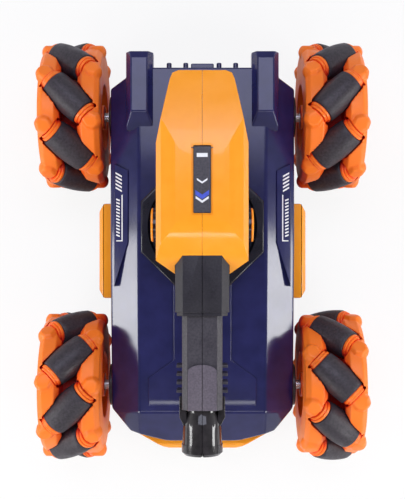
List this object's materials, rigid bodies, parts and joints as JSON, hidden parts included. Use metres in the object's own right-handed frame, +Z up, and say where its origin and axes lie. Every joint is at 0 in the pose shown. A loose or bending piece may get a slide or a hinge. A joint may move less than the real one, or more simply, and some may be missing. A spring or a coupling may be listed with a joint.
{
  "type": "remote control stunt car",
  "caption": "Toy stunt car on four mecanum wheels with angled free rollers, carrying a turning, tilting gel-ball gun turret on an indigo body.",
  "frame": {"origin": "bottom centre of the box round the car, on the floor between the four wheels", "axes": "+Y to the rear of the car along its length, +Z up, +X to the car's left side; the gun points along -Y"},
  "size_m": [0.209, 0.2738, 0.1429],
  "materials": {
    "navy_shell": "gloss dark indigo moulding",
    "black_plastic": "satin black moulding",
    "gun_orange": "satin gloss orange moulding",
    "wheel_orange": "satin gloss red-orange moulding",
    "barrel_plastic": "satin dark grey moulding",
    "roller_rubber": "matte black rubber sleeve on an orange core",
    "steel": "bright zinc plated",
    "motor_can": "plated can",
    "battery_wrap": "blue heat-shrink wrap",
    "board": "green solder mask",
    "gear_plastic": "natural acetal",
    "switch_red": "red moulding",
    "piston_white": "natural acetal"
  },
  "bodies": {
    "chassis": {"chassis_tub": "black_plastic", "body_shell": "navy_shell", "front_bumper": "gun_orange", "side_bumpers": "gun_orange", "gearbox_housings": "black_plastic", "motors": "motor_can", "battery_pack": "battery_wrap", "circuit_board": "board", "turret_ring": "black_plastic", "body_screws": "steel"},
    "turret": {"turret_yoke": "black_plastic"},
    "gun": {"gun_shell": "gun_orange", "gun_barrel": "barrel_plastic", "firing_motor": "motor_can", "piston_spring": "steel"},
    "hatch": {"hopper_hatch": "barrel_plastic"},
    "piston": {"firing_piston": "piston_white"},
    "pinion": {"turret_pinion": "gear_plastic"},
    "battery_door": {"battery_door": "black_plastic"},
    "power_switch": {"power_switch": "switch_red"},
    "wheel_front_left": {"wheel_hub_front_left": "wheel_orange", "drive_shaft_front_left": "steel"},
    "roller_front_left_1": {"roller_front_left_1": "roller_rubber"},
    "roller_front_left_2": {"roller_front_left_2": "roller_rubber"},
    "roller_front_left_3": {"roller_front_left_3": "roller_rubber"},
    "roller_front_left_4": {"roller_front_left_4": "roller_rubber"},
    "roller_front_left_5": {"roller_front_left_5": "roller_rubber"},
    "roller_front_left_6": {"roller_front_left_6": "roller_rubber"},
    "roller_front_left_7": {"roller_front_left_7": "roller_rubber"},
    "roller_front_left_8": {"roller_front_left_8": "roller_rubber"},
    "wheel_front_right": {"wheel_hub_front_right": "wheel_orange", "drive_shaft_front_right": "steel"},
    "roller_front_right_1": {"roller_front_right_1": "roller_rubber"},
    "roller_front_right_2": {"roller_front_right_2": "roller_rubber"},
    "roller_front_right_3": {"roller_front_right_3": "roller_rubber"},
    "roller_front_right_4": {"roller_front_right_4": "roller_rubber"},
    "roller_front_right_5": {"roller_front_right_5": "roller_rubber"},
    "roller_front_right_6": {"roller_front_right_6": "roller_rubber"},
    "roller_front_right_7": {"roller_front_right_7": "roller_rubber"},
    "roller_front_right_8": {"roller_front_right_8": "roller_rubber"},
    "wheel_rear_left": {"wheel_hub_rear_left": "wheel_orange", "drive_shaft_rear_left": "steel"},
    "roller_rear_left_1": {"roller_rear_left_1": "roller_rubber"},
    "roller_rear_left_2": {"roller_rear_left_2": "roller_rubber"},
    "roller_rear_left_3": {"roller_rear_left_3": "roller_rubber"},
    "roller_rear_left_4": {"roller_rear_left_4": "roller_rubber"},
    "roller_rear_left_5": {"roller_rear_left_5": "roller_rubber"},
    "roller_rear_left_6": {"roller_rear_left_6": "roller_rubber"},
    "roller_rear_left_7": {"roller_rear_left_7": "roller_rubber"},
    "roller_rear_left_8": {"roller_rear_left_8": "roller_rubber"},
    "wheel_rear_right": {"wheel_hub_rear_right": "wheel_orange", "drive_shaft_rear_right": "steel"},
    "roller_rear_right_1": {"roller_rear_right_1": "roller_rubber"},
    "roller_rear_right_2": {"roller_rear_right_2": "roller_rubber"},
    "roller_rear_right_3": {"roller_rear_right_3": "roller_rubber"},
    "roller_rear_right_4": {"roller_rear_right_4": "roller_rubber"},
    "roller_rear_right_5": {"roller_rear_right_5": "roller_rubber"},
    "roller_rear_right_6": {"roller_rear_right_6": "roller_rubber"},
    "roller_rear_right_7": {"roller_rear_right_7": "roller_rubber"},
    "roller_rear_right_8": {"roller_rear_right_8": "roller_rubber"}
  },
  "joints": [
    {"name": "turret_yaw", "type": "hinge", "parent": "chassis", "child": "turret", "pos_m": [0, 0.015, 0.083], "axis": [0, 0, 1], "range_deg": [-45, 45]},
    {"name": "gun_pitch", "type": "hinge", "parent": "turret", "child": "gun", "pos_m": [0, 0.015, 0.12], "axis": [-1, 0, 0], "range_deg": [-3, 10]},
    {"name": "hatch_lid", "type": "hinge", "parent": "gun", "child": "hatch", "pos_m": [0, 0.05835, 0.14175], "axis": [-1, 0, 0], "range_deg": [0, 100]},
    {"name": "battery_door", "type": "hinge", "parent": "chassis", "child": "battery_door", "pos_m": [0, -0.035, 0.024], "axis": [-1, 0, 0], "range_deg": [0, 90]},
    {"name": "power_switch", "type": "slide", "parent": "chassis", "child": "power_switch", "axis": [0, 1, 0], "range_m": [0, 0.005]},
    {"name": "firing_piston", "type": "slide", "parent": "gun", "child": "piston", "axis": [0, 1, 0], "range_m": [0, 0.016], "stiffness_N_per_m": 150, "springref_m": -0.004, "deforming": ["piston_spring"]},
    {"name": "turret_pinion", "type": "hinge", "parent": "chassis", "child": "pinion", "pos_m": [0, -0.013, 0.073], "axis": [0, 0, 1], "range_deg": [-170, 170]},
    {"name": "spin_front_left", "type": "hinge", "parent": "chassis", "child": "wheel_front_left", "pos_m": [0.0835, -0.088, 0.049], "axis": [1, 0, 0], "continuous": true},
    {"name": "spin_front_right", "type": "hinge", "parent": "chassis", "child": "wheel_front_right", "pos_m": [-0.0835, -0.088, 0.049], "axis": [1, 0, 0], "continuous": true},
    {"name": "spin_rear_left", "type": "hinge", "parent": "chassis", "child": "wheel_rear_left", "pos_m": [0.0835, 0.088, 0.049], "axis": [1, 0, 0], "continuous": true},
    {"name": "spin_rear_right", "type": "hinge", "parent": "chassis", "child": "wheel_rear_right", "pos_m": [-0.0835, 0.088, 0.049], "axis": [1, 0, 0], "continuous": true},
    {"name": "roll_front_left_1", "type": "hinge", "parent": "wheel_front_left", "child": "roller_front_left_1", "pos_m": [0.0835, -0.07923, 0.087], "axis": [0.7071, -0.689, 0.1591], "continuous": true},
    {"name": "roll_front_left_2", "type": "hinge", "parent": "wheel_front_left", "child": "roller_front_left_2", "pos_m": [0.0835, -0.10867, 0.08207], "axis": [0.7071, -0.5997, -0.3747], "continuous": true},
    {"name": "roll_front_left_3", "type": "hinge", "parent": "wheel_front_left", "child": "roller_front_left_3", "pos_m": [0.0835, -0.126, 0.05777], "axis": [0.7071, -0.1591, -0.689], "continuous": true},
    {"name": "roll_front_left_4", "type": "hinge", "parent": "wheel_front_left", "child": "roller_front_left_4", "pos_m": [0.0835, -0.12107, 0.02833], "axis": [0.7071, 0.3747, -0.5997], "continuous": true},
    {"name": "roll_front_left_5", "type": "hinge", "parent": "wheel_front_left", "child": "roller_front_left_5", "pos_m": [0.0835, -0.09677, 0.011], "axis": [0.7071, 0.689, -0.1591], "continuous": true},
    {"name": "roll_front_left_6", "type": "hinge", "parent": "wheel_front_left", "child": "roller_front_left_6", "pos_m": [0.0835, -0.06733, 0.01593], "axis": [0.7071, 0.5997, 0.3747], "continuous": true},
    {"name": "roll_front_left_7", "type": "hinge", "parent": "wheel_front_left", "child": "roller_front_left_7", "pos_m": [0.0835, -0.05, 0.04023], "axis": [0.7071, 0.1591, 0.689], "continuous": true},
    {"name": "roll_front_left_8", "type": "hinge", "parent": "wheel_front_left", "child": "roller_front_left_8", "pos_m": [0.0835, -0.05493, 0.06967], "axis": [0.7071, -0.3747, 0.5997], "continuous": true},
    {"name": "roll_front_right_1", "type": "hinge", "parent": "wheel_front_right", "child": "roller_front_right_1", "pos_m": [-0.0835, -0.0685, 0.08278], "axis": [-0.7071, -0.6124, 0.3536], "continuous": true},
    {"name": "roll_front_right_2", "type": "hinge", "parent": "wheel_front_right", "child": "roller_front_right_2", "pos_m": [-0.0835, -0.09809, 0.08667], "axis": [-0.7071, -0.683, -0.183], "continuous": true},
    {"name": "roll_front_right_3", "type": "hinge", "parent": "wheel_front_right", "child": "roller_front_right_3", "pos_m": [-0.0835, -0.12177, 0.0685], "axis": [-0.7071, -0.3536, -0.6124], "continuous": true},
    {"name": "roll_front_right_4", "type": "hinge", "parent": "wheel_front_right", "child": "roller_front_right_4", "pos_m": [-0.0835, -0.12567, 0.03891], "axis": [-0.7071, 0.183, -0.683], "continuous": true},
    {"name": "roll_front_right_5", "type": "hinge", "parent": "wheel_front_right", "child": "roller_front_right_5", "pos_m": [-0.0835, -0.1075, 0.01523], "axis": [-0.7071, 0.6124, -0.3536], "continuous": true},
    {"name": "roll_front_right_6", "type": "hinge", "parent": "wheel_front_right", "child": "roller_front_right_6", "pos_m": [-0.0835, -0.07791, 0.01133], "axis": [-0.7071, 0.683, 0.183], "continuous": true},
    {"name": "roll_front_right_7", "type": "hinge", "parent": "wheel_front_right", "child": "roller_front_right_7", "pos_m": [-0.0835, -0.05423, 0.0295], "axis": [-0.7071, 0.3536, 0.6124], "continuous": true},
    {"name": "roll_front_right_8", "type": "hinge", "parent": "wheel_front_right", "child": "roller_front_right_8", "pos_m": [-0.0835, -0.05033, 0.05909], "axis": [-0.7071, -0.183, 0.683], "continuous": true},
    {"name": "roll_rear_left_1", "type": "hinge", "parent": "wheel_rear_left", "child": "roller_rear_left_1", "pos_m": [0.0835, 0.09611, 0.08715], "axis": [0.7071, 0.6917, -0.147], "continuous": true},
    {"name": "roll_rear_left_2", "type": "hinge", "parent": "wheel_rear_left", "child": "roller_rear_left_2", "pos_m": [0.0835, 0.06676, 0.08171], "axis": [0.7071, 0.593, 0.3851], "continuous": true},
    {"name": "roll_rear_left_3", "type": "hinge", "parent": "wheel_rear_left", "child": "roller_rear_left_3", "pos_m": [0.0835, 0.04985, 0.05711], "axis": [0.7071, 0.147, 0.6917], "continuous": true},
    {"name": "roll_rear_left_4", "type": "hinge", "parent": "wheel_rear_left", "child": "roller_rear_left_4", "pos_m": [0.0835, 0.05529, 0.02776], "axis": [0.7071, -0.3851, 0.593], "continuous": true},
    {"name": "roll_rear_left_5", "type": "hinge", "parent": "wheel_rear_left", "child": "roller_rear_left_5", "pos_m": [0.0835, 0.07989, 0.01085], "axis": [0.7071, -0.6917, 0.147], "continuous": true},
    {"name": "roll_rear_left_6", "type": "hinge", "parent": "wheel_rear_left", "child": "roller_rear_left_6", "pos_m": [0.0835, 0.10924, 0.01629], "axis": [0.7071, -0.593, -0.3851], "continuous": true},
    {"name": "roll_rear_left_7", "type": "hinge", "parent": "wheel_rear_left", "child": "roller_rear_left_7", "pos_m": [0.0835, 0.12615, 0.04089], "axis": [0.7071, -0.147, -0.6917], "continuous": true},
    {"name": "roll_rear_left_8", "type": "hinge", "parent": "wheel_rear_left", "child": "roller_rear_left_8", "pos_m": [0.0835, 0.12071, 0.07024], "axis": [0.7071, 0.3851, -0.593], "continuous": true},
    {"name": "roll_rear_right_1", "type": "hinge", "parent": "wheel_rear_right", "child": "roller_rear_right_1", "pos_m": [-0.0835, 0.09544, 0.08728], "axis": [-0.7071, 0.6941, -0.1349], "continuous": true},
    {"name": "roll_rear_right_2", "type": "hinge", "parent": "wheel_rear_right", "child": "roller_rear_right_2", "pos_m": [-0.0835, 0.06619, 0.08133], "axis": [-0.7071, 0.5862, 0.3954], "continuous": true},
    {"name": "roll_rear_right_3", "type": "hinge", "parent": "wheel_rear_right", "child": "roller_rear_right_3", "pos_m": [-0.0835, 0.04972, 0.05644], "axis": [-0.7071, 0.1349, 0.6941], "continuous": true},
    {"name": "roll_rear_right_4", "type": "hinge", "parent": "wheel_rear_right", "child": "roller_rear_right_4", "pos_m": [-0.0835, 0.05567, 0.02719], "axis": [-0.7071, -0.3954, 0.5862], "continuous": true},
    {"name": "roll_rear_right_5", "type": "hinge", "parent": "wheel_rear_right", "child": "roller_rear_right_5", "pos_m": [-0.0835, 0.08056, 0.01072], "axis": [-0.7071, -0.6941, 0.1349], "continuous": true},
    {"name": "roll_rear_right_6", "type": "hinge", "parent": "wheel_rear_right", "child": "roller_rear_right_6", "pos_m": [-0.0835, 0.10981, 0.01667], "axis": [-0.7071, -0.5862, -0.3954], "continuous": true},
    {"name": "roll_rear_right_7", "type": "hinge", "parent": "wheel_rear_right", "child": "roller_rear_right_7", "pos_m": [-0.0835, 0.12628, 0.04156], "axis": [-0.7071, -0.1349, -0.6941], "continuous": true},
    {"name": "roll_rear_right_8", "type": "hinge", "parent": "wheel_rear_right", "child": "roller_rear_right_8", "pos_m": [-0.0835, 0.12033, 0.07081], "axis": [-0.7071, 0.3954, -0.5862], "continuous": true}
  ],
  "couplings": [
    {"joint": "turret_pinion", "follows": "turret_yaw", "ratio": -3.6667}
  ]
}
